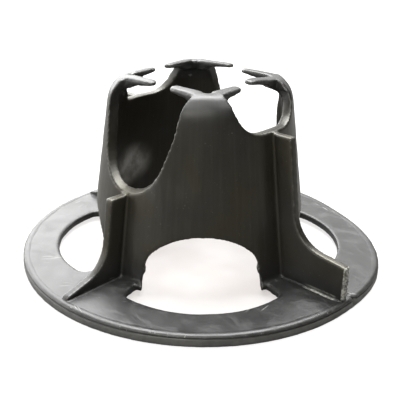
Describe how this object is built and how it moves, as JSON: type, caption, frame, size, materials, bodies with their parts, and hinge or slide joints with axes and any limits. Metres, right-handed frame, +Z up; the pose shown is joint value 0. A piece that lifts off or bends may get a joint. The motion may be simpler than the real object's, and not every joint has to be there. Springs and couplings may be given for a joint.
{
  "type": "rebar chair",
  "caption": "Two-height rebar chair moulded in one piece: windowed ring base, hollow arched drum, two crossed bar channels with snap fingers, and low ribs",
  "frame": {"origin": "centre of the ring base's underside, on the ground plane", "axes": "+Z up along the drum axis; deep seats lie along Y, shallow seats along X, and the tall gate rib is at +X"},
  "size_m": [0.096, 0.096, 0.0495],
  "materials": {
    "charcoal_plastic": "moulded, satin to matte"
  },
  "bodies": {
    "root": {"rebar_chair": "charcoal_plastic"}
  },
  "joints": []
}
